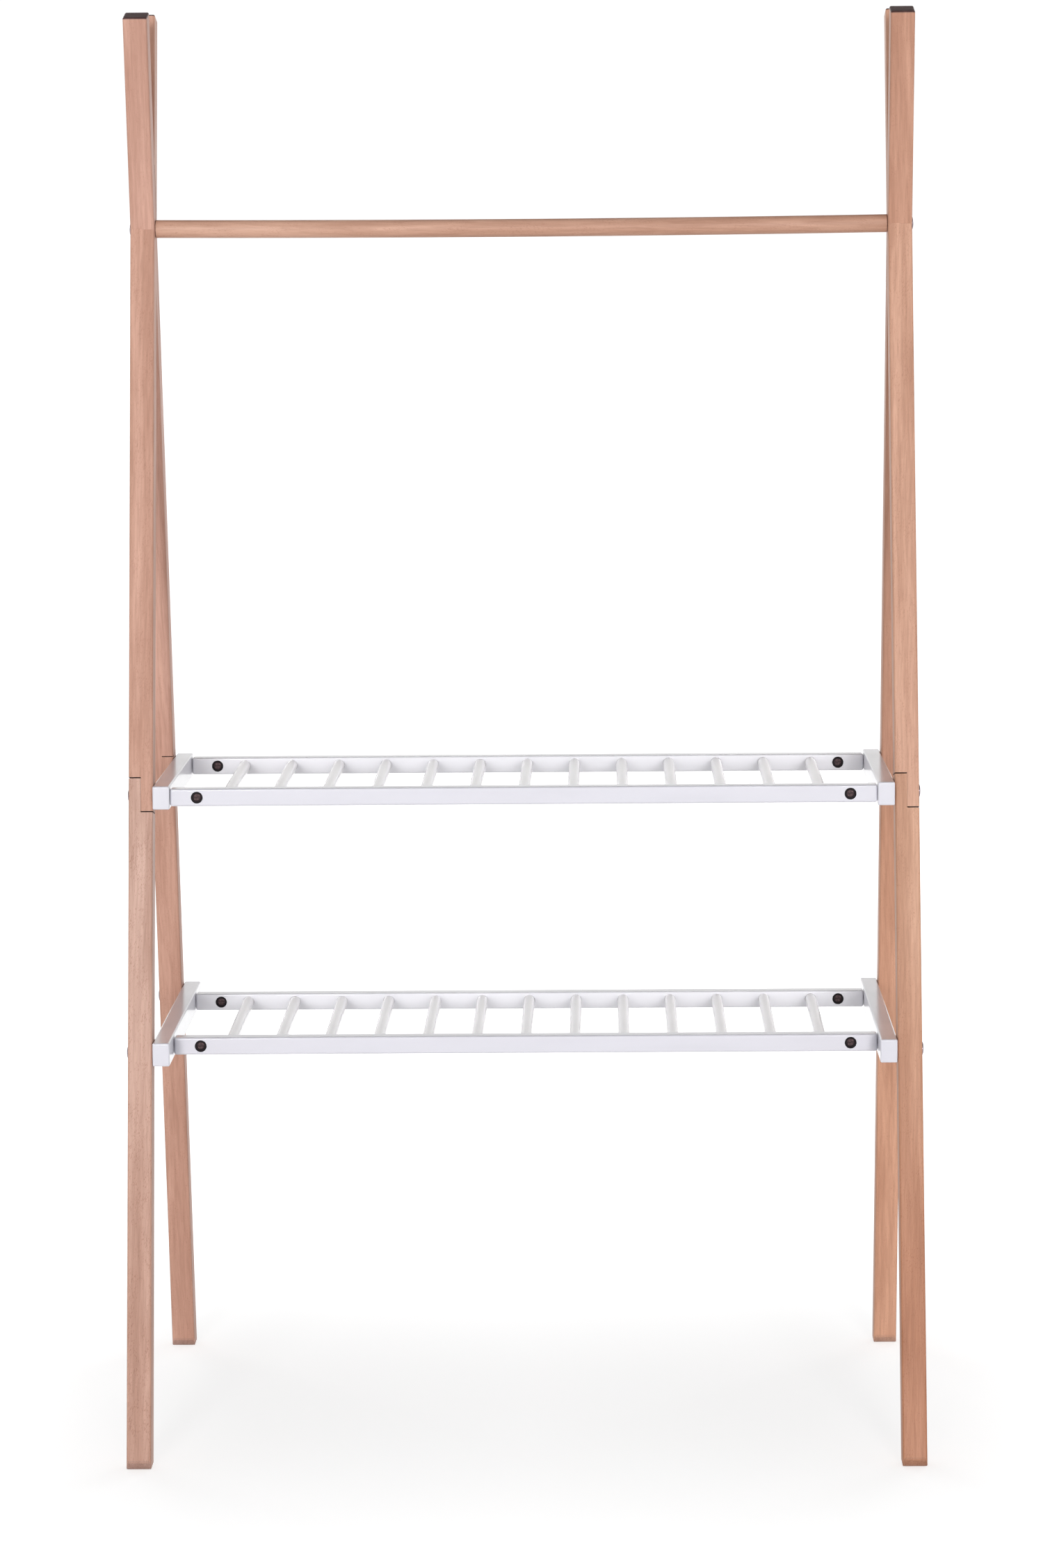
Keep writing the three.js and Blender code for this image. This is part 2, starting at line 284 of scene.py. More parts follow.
def put(made, name, place, material, node=None):
    """Sets a piece in place in the frame. It stands for a CAD node if it has one.

    Its own coordinates are kept as the attribute "grain", which the materials read.
    """
    mesh = made.data
    made.name = name
    mesh.name = name
    grain = mesh.attributes.new("grain", "FLOAT_VECTOR", "POINT")
    grain.data.foreach_set("vector", [value for vertex in mesh.vertices for value in vertex.co])
    mesh.transform(place)
    mesh.materials.clear()
    mesh.materials.append(material)
    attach(made, "root")
    if node:
        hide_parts(node)


def copy(pattern):
    made = bpy.data.objects.new(pattern.name, pattern.data.copy())
    bpy.context.scene.collection.objects.link(made)
    return made


# ---------------------------------------------------------------- materials

def add(tree, kind, inputs=None, **settings):
    """Adds a shader node. An input is a value, or the socket that feeds it."""
    node = tree.nodes.new("ShaderNode" + kind)
    for key, value in settings.items():
        setattr(node, key, value)
    for key, value in (inputs or {}).items():
        if isinstance(value, bpy.types.NodeSocket):
            tree.links.new(value, node.inputs[key])
        else:
            node.inputs[key].default_value = value
    return node


def new_material(name, roughness, **values):
    material = bpy.data.materials.new(name)
    material.use_nodes = True
    tree = material.node_tree
    shader = tree.nodes["Principled BSDF"]
    shader.inputs["Roughness"].default_value = roughness
    for key, value in values.items():
        shader.inputs[key.replace("_", " ")].default_value = value
    return material, tree, shader


def own_place(tree, seed, across, along, slant=0.0):
    """A piece's own coordinates, moved by a seed, with so many units to a metre across and along it.

    The slant turns them about Y.
    """
    place = add(tree, "Attribute", attribute_name="grain").outputs["Vector"]
    moved = add(tree, "Mapping", {
        "Vector": place,
        "Location": (-3.1 * seed / across, -1.7 * seed / across, -0.9 * seed / along),
        "Rotation": (0, slant, 0),
        "Scale": (1 / across, 1 / across, 1 / along),
    }, vector_type="TEXTURE")
    return moved.outputs["Vector"]


def noise(tree, vector, detail, roughness=0.5, distortion=0.0):
    return add(tree, "TexNoise", {
        "Vector": vector,
        "Scale": 1.0,
        "Detail": detail,
        "Roughness": roughness,
        "Distortion": distortion,
    }).outputs["Fac"]


def between(tree, value, low, high, to_low=0.0, to_high=1.0):
    return add(tree, "MapRange", {
        "Value": value,
        "From Min": low,
        "From Max": high,
        "To Min": to_low,
        "To Max": to_high,
    }, interpolation_type="SMOOTHSTEP").outputs["Result"]


def length_of(tree, vector):
    return add(tree, "VectorMath", {0: vector}, operation="LENGTH").outputs["Value"]


def math_node(tree, operation, a, b=0.0):
    return add(tree, "Math", {0: a, 1: b}, operation=operation).outputs[0]


def rgba(colour):
    return colour if isinstance(colour, bpy.types.NodeSocket) else (*colour, 1)


def mixed(tree, share, first, second, blend="MIX"):
    """Mixes two colours. The Mix node's sockets for colours are numbers 6, 7 and, going out, 2."""
    inputs = {0: share, 6: rgba(first), 7: rgba(second)}
    return add(tree, "Mix", inputs, data_type="RGBA", blend_type=blend).outputs[2]


def bump(tree, shader, height, distance, strength):
    node = add(tree, "Bump", {"Height": height, "Distance": distance, "Strength": strength})
    tree.links.new(node.outputs["Normal"], shader.inputs["Normal"])


FIGURE_DEPTH = 0.24                # how much darker the slow figure is
STREAK_DEPTH = 0.14
RING_DEPTH = 0.05
RING_RATE = 1500                   # rings across the wood, in radians to a metre
RING_WAVER = 22                    # in radians
PITH = (0.058, 0.021, 0)           # middle of the rings, which the seed then moves metres away
FIBRE_DEPTH = 0.08
PORE_DEPTH = 0.2                   # in end grain
WOOD_RELIEF = 0.05 * MM
FLECK_TONE = (0.66, 0.52, 0.46)    # a fleck's colour, as a share of the wood's
FOOT_GRAIN = (0.80, 0.88, 0.98)    # end grain, as a share of the wood's colour
# The tips' end grain is made far darker than the feet's: partly the end grain's own colour, partly
# painted shade where little light falls from above.
TIP_GRAIN_AND_SHADE = (0.15, 0.125, 0.16)
WARM_TONE = (0.80, 0.64, 0.54)     # a front leg's colour near the foot, as a share of it higher up; partly the wood's own colour, partly painted shade
WARM_FROM_TO = (-1.15, -0.65)      # below the crossing, along the leg


def darker(share):
    """Brown shade that multiplies a wood's colour. Blue goes down most, red least."""
    return (1 - 0.8 * share, 1 - share, 1 - 1.12 * share)


def stained(tree, share, wood, tone):
    """Multiplies the wood's colour by a tone, as far as share says."""
    return mixed(tree, share, wood, mixed(tree, 1.0, wood, tone, "MULTIPLY"))


def growth_rings(tree, seed):
    """1 in the late wood of each ring. The pith is metres away, so the rings are nearly flat."""
    pith = add(tree, "VectorMath", {0: own_place(tree, seed, 1, 0.035), 1: PITH}, operation="SUBTRACT")
    growth = math_node(tree, "MULTIPLY", length_of(tree, pith.outputs[0]), RING_RATE)
    waver = noise(tree, own_place(tree, seed + 3, 40, 4), 3.0)
    rings = math_node(tree, "ADD", growth, math_node(tree, "MULTIPLY", waver, RING_WAVER))
    return between(tree, math_node(tree, "SINE", rings), -0.2, 1.0)


def ray_flecks(tree, seed, strength):
    """Thin dashes, thick in some patches and few in others."""
    speck = noise(tree, own_place(tree, seed + 9, 1700, 420, 0.22), 0.0)
    patch = noise(tree, own_place(tree, seed + 12, 110, 30), 1.0)
    edge = between(tree, patch, 0.36, 0.66, 0.75, 0.62)
    return between(tree, math_node(tree, "SUBTRACT", speck, edge), 0.0, 0.08, 0.0, strength)


def beech(name, seed, colour, flecks, end_tone=FOOT_GRAIN, warmth=0.0):
    """Steamed beech: slow figure, streaks, faint rings, fibres and short ray flecks, all along Z."""
    material, tree, shader = new_material(
        name, 0.5, Specular_IOR_Level=0.3, Coat_Weight=0.05, Coat_Roughness=0.32,
    )
    figure = noise(tree, own_place(tree, seed, 46, 3.0), 3.0, 0.55, 0.8)
    wood = stained(tree, between(tree, figure, 0.36, 0.66), colour, darker(FIGURE_DEPTH))
    # Towards a front leg's foot the wood is darkened and warmed: partly its own colour, partly painted
    # shade.
    if warmth:
        grain = add(tree, "Attribute", attribute_name="grain").outputs["Vector"]
        level = add(tree, "SeparateXYZ", {"Vector": grain}).outputs["Z"]
        wood = stained(tree, between(tree, level, *WARM_FROM_TO, warmth, 0.0), wood, WARM_TONE)

    streak = noise(tree, own_place(tree, seed + 2, 330, 20, 0.03), 3.0, 0.6, 0.6)
    wood = stained(tree, between(tree, streak, 0.38, 0.68), wood, darker(STREAK_DEPTH))
    wood = stained(tree, growth_rings(tree, seed), wood, darker(RING_DEPTH))
    fibre = noise(tree, own_place(tree, seed + 5, 1500, 75), 2.0, 0.6)
    wood = stained(tree, between(tree, fibre, 0.36, 0.70), wood, darker(FIBRE_DEPTH))
    fleck = ray_flecks(tree, seed, flecks)
    wood = stained(tree, fleck, wood, FLECK_TONE)

    end = add(tree, "Attribute", attribute_name="end_grain").outputs["Fac"]
    pores = noise(tree, own_place(tree, seed + 15, 1100, 1100), 1.0)
    # End grain is multiplied by the end tone; at the tips that tone also holds painted shade.
    end_wood = mixed(tree, 1.0, wood, end_tone, "MULTIPLY")
    end_wood = stained(tree, between(tree, pores, 0.4, 0.65), end_wood, darker(PORE_DEPTH))
    wood = mixed(tree, between(tree, end, 0.02, 0.30), wood, end_wood)
    tree.links.new(wood, shader.inputs["Base Color"])

    tree.links.new(between(tree, figure, 0.3, 0.7, 0.46, 0.58), shader.inputs["Roughness"])
    bump(tree, shader, math_node(tree, "SUBTRACT", fibre, fleck), WOOD_RELIEF, 0.6)
    return material


# Lit and shaded copies of one white paint. The bars' and front rails' copy is darker, as painted shade.
# The rear rails' copy is lighter, and the slats' copy lighter and warmer, as painted light.
FRONT_PAINT_SHADED = (0.697, 0.688, 0.750)
REAR_PAINT_LIT = (0.775, 0.773, 0.815)
SLAT_PAINT_LIT = (0.905, 0.880, 0.895)
THIN_PAINT = 0.96                  # shade where the paint is thinner
PAINT_RELIEF = 0.03 * MM


def paint(name, seed, colour):
    """White satin paint, with the wood's grain just showing through as relief."""
    material, tree, shader = new_material(
        name, 0.36, Specular_IOR_Level=0.2, Coat_Weight=1.0, Coat_Roughness=0.18,
    )
    cloud = noise(tree, own_place(tree, seed, 30, 8), 3.0, 0.6)
    thin = [THIN_PAINT * value for value in colour]
    shade = mixed(tree, between(tree, cloud, 0.35, 0.75), colour, thin)
    tree.links.new(shade, shader.inputs["Base Color"])
    tree.links.new(between(tree, cloud, 0.3, 0.7, 0.30, 0.42), shader.inputs["Roughness"])
    grain = noise(tree, own_place(tree, seed + 3, 700, 20), 2.0)
    peel = noise(tree, own_place(tree, seed + 6, 420, 420), 1.0)
    bump(tree, shader, math_node(tree, "ADD", grain, peel), PAINT_RELIEF, 0.5)
    return material


BLACK_STEEL = (0.010, 0.007, 0.007)
BLACK_STEEL_WORN = (0.055, 0.033, 0.028)
NUT_STEEL = (0.022, 0.014, 0.015)
NUT_STEEL_WORN = (0.075, 0.046, 0.047)
# Black rim of a barrel nut's end: painted shade of the gap and groove round it.
NUT_RIM_PAINTED_SHADE = (0.006, 0.004, 0.005)
GREY_STEEL = (0.20, 0.16, 0.19)
GREY_STEEL_WORN = (0.30, 0.25, 0.28)
STEEL_RELIEF = 0.02 * MM


def plated_steel(name, seed, colour, worn, rough, dish=None):
    """Plated steel, brighter where the plating is thin. Around a dish the rim is black: painted shade
    of the gap and groove round a barrel nut's end.
    """
    material, tree, shader = new_material(name, rough, Metallic=0.85)
    cloud = noise(tree, own_place(tree, seed, 420, 420), 3.0, 0.6)
    shade = mixed(tree, between(tree, cloud, 0.45, 0.7), colour, worn)
    if dish:
        spot = add(tree, "Attribute", attribute_name="grain").outputs["Vector"]
        across = add(tree, "VectorMath", {0: spot, 1: (1, 1, 0)}, operation="MULTIPLY").outputs[0]
        # Outside the dish the steel is painted black, as painted shade.
        rim = between(tree, length_of(tree, across), dish - 0.1 * MM, dish + 0.3 * MM)
        shade = mixed(tree, rim, shade, NUT_RIM_PAINTED_SHADE)
    tree.links.new(shade, shader.inputs["Base Color"])
    gloss = between(tree, cloud, 0.3, 0.7, rough - 0.06, rough + 0.08)
    tree.links.new(gloss, shader.inputs["Roughness"])
    bump(tree, shader, noise(tree, own_place(tree, seed + 4, 1500, 1500), 1.0), STEEL_RELIEF, 0.4)
    return material


# ---------------------------------------------------------------- legs

# Colour, how strong the flecks are, and how far the foot turns darker and warmer. The colours are
# partly each leg's own wood and partly painted light and shade, set to balance the lamps.
LEG_LOOKS = {
    "front_left_leg_upper": ((0.664, 0.382, 0.286), 0.35, 0.0),
    "front_left_leg_lower": ((0.676, 0.438, 0.355), 0.60, 0.5),
    "front_right_leg_upper": ((0.676, 0.385, 0.269), 0.40, 0.0),
    "front_right_leg_lower": ((0.678, 0.387, 0.259), 0.45, 1.0),
    "rear_left_leg_upper": ((0.684, 0.404, 0.318), 0.25, 0.0),
    "rear_left_leg_lower": ((0.600, 0.346, 0.262), 0.40, 0.0),
    "rear_right_leg_upper": ((0.618, 0.340, 0.238), 0.30, 0.0),
    "rear_right_leg_lower": ((0.650, 0.354, 0.235), 0.25, 0.0),
}


def leg_patterns():
    """Upper and lower length of a leg, with the laps that join them and the crossing's notch."""
    place = leg_place("front", 1)
    upper_low, upper_high = own_box("front_right_leg_upper", place)
    lower_high = own_box("front_right_leg_lower", place)[1]
    half_y = upper_high.y
    past = 4 * LEG_HALF_X              # cutting blocks end this far out
    foot = -CROSSING / math.cos(LEAN)

    upper = timber(
        "upper", LEG_HALF_X, half_y, upper_low.z, upper_high.z,
        LEG_EDGE_RADIUS, 0, LEG_TIP_RADIUS,
    )
    lap = block((-past, -past, upper_low.z - past), (SEAM / 2, past, lower_high.z + SHOULDER_GAP))
    notch_half = half_y + SEAM
    notch_reach = 5 * half_y
    notch = block(
        (-SEAM / 2, -notch_half, -notch_reach), (past, notch_half, notch_reach),
        Matrix.Rotation(2 * LEAN, 4, "X"),
    )
    cut(upper, [lap, notch])

    lower = timber(
        "lower", LEG_HALF_X, half_y, foot, lower_high.z,
        LEG_EDGE_RADIUS, LEG_FOOT_RADIUS, 0, math.tan(LEAN), LEG_FOOT_SIDE_RADIUS,
    )
    lap = block((-SEAM / 2, -past, upper_low.z - SHOULDER_GAP), (past, past, lower_high.z + past))
    cut(lower, [lap])
    for pattern in (upper, lower):
        finish_mesh(pattern)
    return upper, lower


def leg_pieces():
    upper, lower = leg_patterns()
    for seed, (name, (colour, flecks, warmth)) in enumerate(LEG_LOOKS.items()):
        row, side, _, half = name.split("_")
        sign = SIDES[side] if row == "front" else -SIDES[side]
        pattern, end_tone = (upper, TIP_GRAIN_AND_SHADE) if half == "upper" else (lower, FOOT_GRAIN)
        material = beech(f"beech_{name}", 7 * seed + 1, colour, flecks, end_tone, warmth)
        put(copy(pattern), f"{name}_timber", leg_place(row, sign), material, name)
    for pattern in (upper, lower):
        bpy.data.objects.remove(pattern)


# ---------------------------------------------------------------- hanger rail

HANGER_COLOUR = (0.672, 0.408, 0.302)


def hanger_rail():
    """Round rail between the side frames, a little low in the middle."""
    half = LEG_X - LEG_HALF_X - SEAM
    profile = [(0, -half)] + rounded(HANGER_RADIUS, -half, HANGER_END_RADIUS, -1)
    profile += [(HANGER_RADIUS, half * (2 * i / HANGER_STEPS - 1)) for i in range(1, HANGER_STEPS)]
    profile += rounded(HANGER_RADIUS, half, HANGER_END_RADIUS, 1) + [(0, half)]
    made = turning("hanger", profile)
    for vertex in made.data.vertices:
        share = vertex.co.z / half
        vertex.co.x += HANGER_SAG * (1 - share * share)
    finish_mesh(made)
    material = beech("beech_hanger", 77, HANGER_COLOUR, 0.35)
    place = Matrix.Translation((0, 0, CROSSING)) @ ALONG_X
    put(made, "hanger_rail", place, material, HANGER)


# ---------------------------------------------------------------- shelves

def slat_nodes(shelf):
    return sorted(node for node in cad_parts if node.startswith(f"{shelf}_shelf_slat"))


def end_bar(shelf, side, sign, material):
    """End bar with bores for two leg bolts, their inserts, and two connector bolts with sunk heads."""
    node = f"{shelf}_shelf_{side}_end_bar"
    place = Matrix.Translation(middle(node)) @ ALONG_Y
    if sign < 0:
        place = HALF_TURN @ Matrix.Translation(HALF_TURN @ middle(node)) @ ALONG_Y
    extent = size(node) / 2
    made = timber(
        "bar", extent.x, extent.z, -extent.y, extent.y,
        BAR_EDGE_RADIUS, BAR_EDGE_RADIUS, BAR_EDGE_RADIUS,
    )
    past = 2 * extent.x
    tools = []
    for row in ROWS:
        leg_bolt = place.inverted() @ middle(f"{row}_{side}_{shelf}_leg_bolt")
        shelf_bolt = place.inverted() @ middle(f"{row}_{side}_{shelf}_shelf_bolt")
        for spot, radius, low in (
            (leg_bolt, INSERT_RADIUS + SEAM, extent.x - INSERT_LENGTH - SEAM),
            (leg_bolt, BOLT_RADIUS + SEAM, extent.x - BOLT_REACH - SEAM),
            (shelf_bolt, SUNK_HEAD_RADIUS + SEAM, extent.x - SUNK_HEAD_HEIGHT - SEAM),
            (shelf_bolt, BOLT_RADIUS + SEAM, -past),
        ):
            turn = Matrix.Translation((0, spot.y, spot.z)) @ ALONG_X
            tools.append(rod(radius, low, past, turn, BORE_SIDES))
    cut(made, tools)
    finish_mesh(made)
    put(made, f"{node}_timber", place, material, node)


def shelf_rail(shelf, materials):
    """Front rail of a shelf, with its slat sockets opening to the rear. The rear rail is it, turned."""
    node = f"{shelf}_shelf_front_rail"
    extent = size(node) / 2
    centre = middle(node)
    made = timber(
        "rail", extent.z, extent.y, -extent.x, extent.x,
        RAIL_EDGE_RADIUS, RAIL_END_RADIUS, RAIL_END_RADIUS,
    )
    place = Matrix.Translation(centre) @ ALONG_X
    past = 2 * extent.y
    slats = slat_nodes(shelf)
    socket_radius = size(slats[0]).x / 2 + SOCKET_ROOM
    socket_floor = extent.y - SLAT_DEPTH - SEAM

    def across(x):
        """Place of a bore through the rail at x, in the rail's own axes."""
        return place.inverted() @ Matrix.Translation((x, centre.y, centre.z)) @ ALONG_Y

    tools = [rod(socket_radius, socket_floor, past, across(middle(slat).x)) for slat in slats]
    for side, sign in SIDES.items():
        nut_x = nut_place(f"front_{side}_{shelf}_shelf_bolt", sign)
        tools.append(rod(NUT_RADIUS + SOCKET_ROOM, -past, past, across(nut_x)))
        bore_end = nut_x - sign * (NUT_RADIUS + BOLT_PAST_NUT + BORE_PAST_BOLT)
        bore_from, bore_to = sorted((sign * 2 * extent.x, bore_end))
        tools.append(rod(BOLT_RADIUS + SEAM, bore_from, bore_to, sides=BORE_SIDES))
    cut(made, tools)
    finish_mesh(made)
    for row, turn in zip(ROWS, (Matrix.Identity(4), HALF_TURN)):
        name = f"{shelf}_shelf_{row}_rail"
        put(copy(made), f"{name}_timber", turn @ place, materials[row], name)
    bpy.data.objects.remove(made)


def slat_pieces(shelf, material):
    slats = slat_nodes(shelf)
    radius = size(slats[0]).x / 2
    half = size(slats[0]).y / 2
    profile = [(0, -half)] + rounded(radius, -half, SLAT_END_RADIUS, -1, 2)
    profile += [(radius, -half / 2), (radius, 0), (radius, half / 2)]
    profile += rounded(radius, half, SLAT_END_RADIUS, 1, 2) + [(0, half)]
    pattern = turning("slat", profile)
    finish_mesh(pattern)
    for slat in slats:
        place = Matrix.Translation(middle(slat)) @ ALONG_Y
        put(copy(pattern), f"{slat}_dowel", place, material, slat)
    bpy.data.objects.remove(pattern)


def shelves():
    # Copies of one white paint, each with painted light or shade that balances the lamps.
    shaded_bar_paint = paint("white_paint_bars_shaded", 4, FRONT_PAINT_SHADED)
    lit_slat_paint = paint("white_paint_slats_lit", 9, SLAT_PAINT_LIT)
    lit_and_shaded_rail_paint = {
        "front": paint("white_paint_front_rails_shaded", 15, FRONT_PAINT_SHADED),
        "rear": paint("white_paint_rear_rails_lit", 21, REAR_PAINT_LIT),
    }
    for shelf in SHELVES:
        for side, sign in SIDES.items():
            end_bar(shelf, side, sign, shaded_bar_paint)
        shelf_rail(shelf, lit_and_shaded_rail_paint)
        slat_pieces(shelf, lit_slat_paint)


# ---------------------------------------------------------------- fasteners, head at the top of Z

def hex_tool(face):
    corner = SOCKET_KEY / 2 / math.cos(math.pi / 6)
    return rod(corner, face - SOCKET_SINK, face + SOCKET_KEY, sides=6)


def shank(length, thread_length):
    """Profile points of a threaded shank, from its end at -length up to the plain part."""
    thread_top = -length + thread_length
    return [
        (0, -length),
        (BOLT_RADIUS - THREAD_HEIGHT, -length),
        *threaded(BOLT_RADIUS, -length, thread_top),
        (BOLT_RADIUS, thread_top + THREAD_PITCH),
    ]


def bolt(profile, head_top):
    """A bolt with a hexagon socket in its head."""
    made = turning("bolt", profile)
    cut(made, [hex_tool(head_top)])
    finish_mesh(made)
    return made


def dome_bolt(length):
    """Low domed head. The head sits on z = 0 and the shank runs down."""
    rim = DOME_HEIGHT / 3
    profile = [*shank(length, BOLT_REACH), (BOLT_RADIUS, 0), (DOME_RADIUS, 0)]
    for i in range(DOME_STEPS):
        turn = math.pi / 2 * i / DOME_STEPS
        profile.append((DOME_RADIUS * math.cos(turn), rim + (DOME_HEIGHT - rim) * math.sin(turn)))
    profile.append((0, DOME_HEIGHT))
    return bolt(profile, DOME_HEIGHT)


def sunk_bolt(length):
    """Cylinder head. The head's top is on z = 0."""
    profile = [
        *shank(length, 2 * BOLT_REACH),
        (BOLT_RADIUS, -SUNK_HEAD_HEIGHT),
        (SUNK_HEAD_RADIUS, -SUNK_HEAD_HEIGHT),
        *rounded(SUNK_HEAD_RADIUS, 0, SUNK_HEAD_EDGE, 1),
        (0, 0),
    ]
    return bolt(profile, 0)


def insert_nut():
    """Threaded insert, its mouth on z = 0."""
    made = turning("insert", [(0, -INSERT_LENGTH), *threaded(INSERT_RADIUS, -INSERT_LENGTH, 0), (0, 0)])
    cut(made, [rod(BOLT_RADIUS + THREAD_ROOM, -2 * INSERT_LENGTH, INSERT_LENGTH)])
    finish_mesh(made)
    return made


def barrel_nut():
    """Barrel nut along Z, with a shallow dish and a slot in each end."""
    half = NUT_HALF_LENGTH
    dish_floor = half - NUT_DISH_DEPTH
    top = [(NUT_RADIUS, 0)] + rounded(NUT_RADIUS, half, NUT_EDGE, 1)
    top += [(NUT_DISH_RADIUS + NUT_DISH_SLOPE, half), (NUT_DISH_RADIUS, dish_floor), (0, dish_floor)]
    bottom = [(radius, -z) for radius, z in top[:0:-1]]
    made = turning("nut", bottom + top)
    tools = [rod(BOLT_RADIUS, -2 * NUT_RADIUS, 2 * NUT_RADIUS, ALONG_X)]
    for sign in (-1, 1):
        low, high = sorted((sign * (half - NUT_SLOT_DEPTH), sign * 2 * half))
        tools.append(block(
            (-NUT_DISH_RADIUS, -NUT_SLOT_WIDTH / 2, low),
            (NUT_DISH_RADIUS, NUT_SLOT_WIDTH / 2, high),
        ))
    cut(made, tools)
    finish_mesh(made)
    return made


def nut_place(bolt_node, sign):
    """X of a barrel nut. The inner end of its bolt's node is the bolt's end, past the nut."""
    low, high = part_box(bolt_node)
    inner = low.x if sign > 0 else high.x
    return inner + sign * (NUT_RADIUS + BOLT_PAST_NUT)


def outward_at(x, spot, sign):
    """Place of a fastener at the node's middle in Y and Z, with its head facing outwards."""
    return Matrix.Translation((x, spot.y, spot.z)) @ OUTWARD[sign]


def crossing_bolts(metal):
    pattern = dome_bolt(2 * LEG_HALF_X + BOLT_REACH)
    for side, sign in SIDES.items():
        place = outward_at(sign * (LEG_X + LEG_HALF_X), Vector((0, 0, CROSSING)), sign)
        put(copy(pattern), f"{side}_crossing_bolt", place, metal)
    bpy.data.objects.remove(pattern)


def shelf_fasteners(black, grey, nut_metal):
    """At each end of each end bar: a leg bolt in its insert, and a connector bolt in its barrel nut."""
    leg_outer = LEG_X + LEG_HALF_X
    bar_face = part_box("upper_shelf_right_end_bar")[1].x
    into_bar = dome_bolt(leg_outer - bar_face + BOLT_REACH)
    insert = insert_nut()
    into_rail = sunk_bolt(size("front_right_upper_shelf_bolt").x)
    nut = barrel_nut()
    for row, shelf, side in itertools.product(ROWS, SHELVES, SIDES):
        sign = SIDES[side]
        joint = f"{row}_{side}_{shelf}"

        node = f"{joint}_leg_bolt"
        spot = middle(node)
        place = outward_at(sign * leg_outer, spot, sign)
        put(copy(into_bar), f"{node}_m6", place, grey, node)
        place = outward_at(sign * bar_face, spot, sign)
        put(copy(insert), f"{joint}_threaded_insert", place, black)

        node = f"{joint}_shelf_bolt"
        spot = middle(node)
        place = outward_at(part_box(node)[1 if sign > 0 else 0].x, spot, sign)
        put(copy(into_rail), f"{joint}_connector_bolt", place, black, node)
        place = Matrix.Translation((nut_place(node, sign), spot.y, spot.z)) @ ALONG_Y
        put(copy(nut), f"{joint}_barrel_nut", place, nut_metal)
    for pattern in (into_bar, insert, into_rail, nut):
        bpy.data.objects.remove(pattern)


def fasteners():
    black = plated_steel("black_steel", 3, BLACK_STEEL, BLACK_STEEL_WORN, 0.40)
    grey = plated_steel("grey_steel", 8, GREY_STEEL, GREY_STEEL_WORN, 0.22)
    nut_metal = plated_steel("nut_steel", 12, NUT_STEEL, NUT_STEEL_WORN, 0.40, NUT_DISH_RADIUS)
    crossing_bolts(grey)
    shelf_fasteners(black, grey, nut_metal)


# ---------------------------------------------------------------- camera, floor and light

LENS = 115.04
CAMERA_PLACE = (0.0854, -5.2376, 1.2905)
CAMERA_YAW = 0.01642
CAMERA_PITCH = -0.1190
CAMERA_ROLL = -0.008194


def camera():
    data = bpy.data.cameras.new("camera")
    data.lens = LENS
    data.clip_end = 100
    made = bpy.data.objects.new("camera", data)
    turn = Matrix.Rotation(CAMERA_YAW, 4, "Z")
    tilt = Matrix.Rotation(math.pi / 2 + CAMERA_PITCH, 4, "X")
    roll = Matrix.Rotation(CAMERA_ROLL, 4, "Z")
    made.matrix_world = Matrix.Translation(CAMERA_PLACE) @ turn @ tilt @ roll
    bpy.context.scene.collection.objects.link(made)
    bpy.context.scene.camera = made


FLOOR_HALF = 60
FLOOR_WHITE = 0.57
GLOW_IN_PAINTED_SHADOW = 0.615                  # light that the floor gives of its own, so that it stays white; least here, as painted shadow
GLOW_FAR = 0.95
GLOW_REACH = 0.95                  # distance over which it rises
PAINTED_SHADOW_SPOT = 0.72                   # middle of the painted shadow, where the glow is least, as a share of the way out to a side frame
GLOW_INWARD = 0.4                  # distances from there are scaled by these: towards the middle,
GLOW_OUTWARD = 1.7                 # away from it,
GLOW_ALONG = 0.8                   # and to the front and rear
BOUNCE = 0.34                      # share of the glow that lights other things


def floor():
    """White floor with a glow of its own, which is least between the feet of each side frame and under
    the rack: a painted shadow there.
    """
    shape = bmesh.new()
    bmesh.ops.create_grid(shape, x_segments=8, y_segments=8, size=FLOOR_HALF)
    made = to_object("floor", shape)
    material, tree, shader = new_material("floor", 0.9, Specular_IOR_Level=0.0)
    shader.inputs["Base Color"].default_value = (FLOOR_WHITE, FLOOR_WHITE, FLOOR_WHITE, 1)
    shader.inputs["Emission Color"].default_value = (1, 1, 1, 1)
    place = add(tree, "SeparateXYZ", {"Vector": add(tree, "TexCoord").outputs["Object"]})
    off_middle = math_node(tree, "ABSOLUTE", place.outputs["X"])
    off_spot = math_node(tree, "SUBTRACT", off_middle, LEG_X * PAINTED_SHADOW_SPOT)
    inside = math_node(tree, "MULTIPLY", off_spot, GLOW_INWARD)
    outside = math_node(tree, "MULTIPLY", off_spot, GLOW_OUTWARD)
    aside = math_node(tree, "MAXIMUM", inside, outside)
    along = math_node(tree, "MULTIPLY", place.outputs["Y"], GLOW_ALONG)
    away = add(tree, "CombineXYZ", {"X": aside, "Y": along}).outputs["Vector"]
    # The glow falls off near each side frame and under the rack: a painted shadow.
    glow = between(tree, length_of(tree, away), 0.0, GLOW_REACH, GLOW_IN_PAINTED_SHADOW, GLOW_FAR)
    bounced = add(tree, "LightPath").outputs["Is Diffuse Ray"]
    share = between(tree, bounced, 0.0, 1.0, 1.0, BOUNCE)
    tree.links.new(math_node(tree, "MULTIPLY", glow, share), shader.inputs["Emission Strength"])
    made.data.materials.append(material)


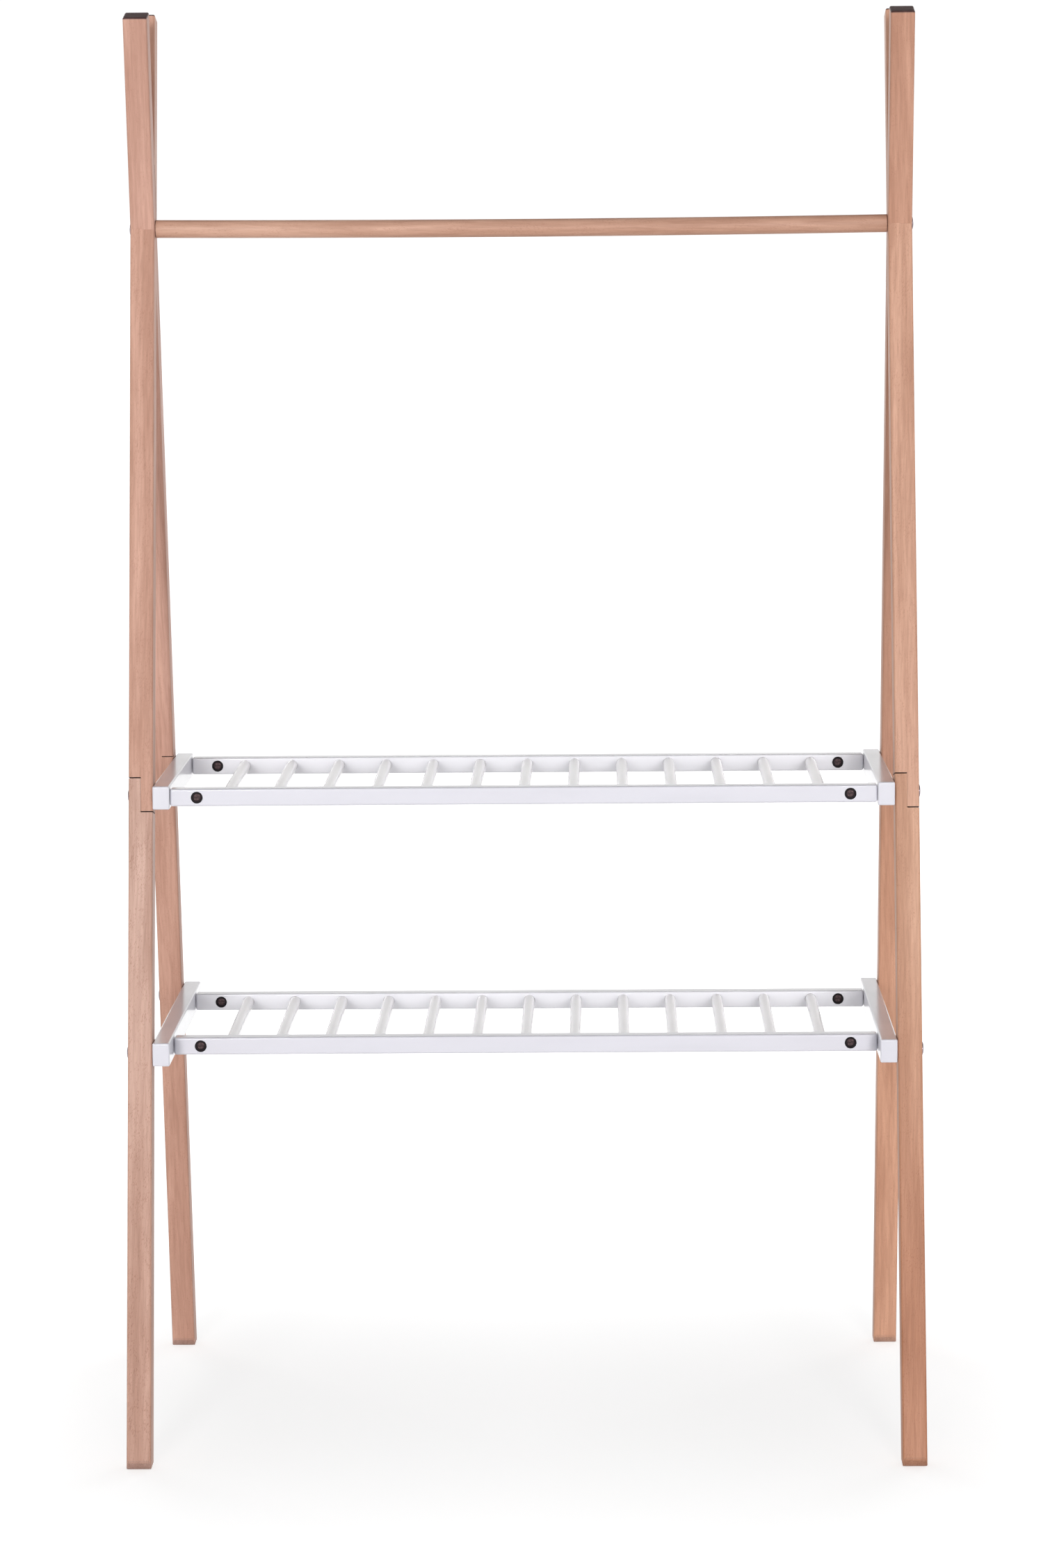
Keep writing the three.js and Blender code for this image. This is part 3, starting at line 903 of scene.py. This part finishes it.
def softbox(name, place, aim, size, power, spread=math.pi):
    """Rectangular lamp. A grid on it narrows its beam to the spread."""
    data = bpy.data.lights.new(name, "AREA")
    data.shape = "RECTANGLE"
    data.size, data.size_y = size
    data.energy = power
    data.spread = spread
    made = bpy.data.objects.new(name, data)
    direction = Vector(aim) - Vector(place)
    turn = direction.to_track_quat("-Z", "Y").to_matrix().to_4x4()
    made.matrix_world = Matrix.Translation(place) @ turn
    bpy.context.scene.collection.objects.link(made)


HORIZON = 1.05
HORIZON_TOP = 0.18                 # height in the sky, as Z of the direction
ZENITH = 0.20
ZENITH_FROM = 0.55

FRONT_BOX_PLACE = (1.15, -5.2, 1.70)
FRONT_BOX_AIM = (0.42, 0, 1.02)
FRONT_BOX_SIZE = (0.9, 3.3)
FRONT_BOX_POWER = 4.9
FRONT_BOX_SPREAD = math.radians(16)
REAR_BOX_PLACE = (3.0, 4.8, 2.6)
REAR_BOX_AIM = (0, 0, 0.75)
REAR_BOX_SIZE = (2.7, 2.7)
REAR_BOX_POWER = 45


def light():
    """A white horizon with a dim ceiling, a tall softbox for each side frame, and two behind.

    The front softboxes have grids, so that each lights its own side frame most.
    """
    world = bpy.data.worlds.new("studio")
    world.use_nodes = True
    tree = world.node_tree
    direction = add(tree, "TexCoord").outputs["Generated"]
    height = add(tree, "SeparateXYZ", {"Vector": direction}).outputs["Z"]
    strength = between(tree, height, HORIZON_TOP, ZENITH_FROM, HORIZON, ZENITH)
    tree.links.new(strength, tree.nodes["Background"].inputs["Strength"])
    tree.nodes["Background"].inputs["Color"].default_value = (1, 1, 1, 1)
    bpy.context.scene.world = world
    bpy.context.scene.view_settings.view_transform = "Standard"
    for side, sign in SIDES.items():
        softbox(
            f"front_{side}", mirrored(FRONT_BOX_PLACE, sign), mirrored(FRONT_BOX_AIM, sign),
            FRONT_BOX_SIZE, FRONT_BOX_POWER, FRONT_BOX_SPREAD,
        )
        softbox(
            f"rear_{side}", mirrored(REAR_BOX_PLACE, sign), REAR_BOX_AIM,
            REAR_BOX_SIZE, REAR_BOX_POWER,
        )


# ---------------------------------------------------------------- the rack

camera()
floor()
light()
leg_pieces()
hanger_rail()
shelves()
fasteners()
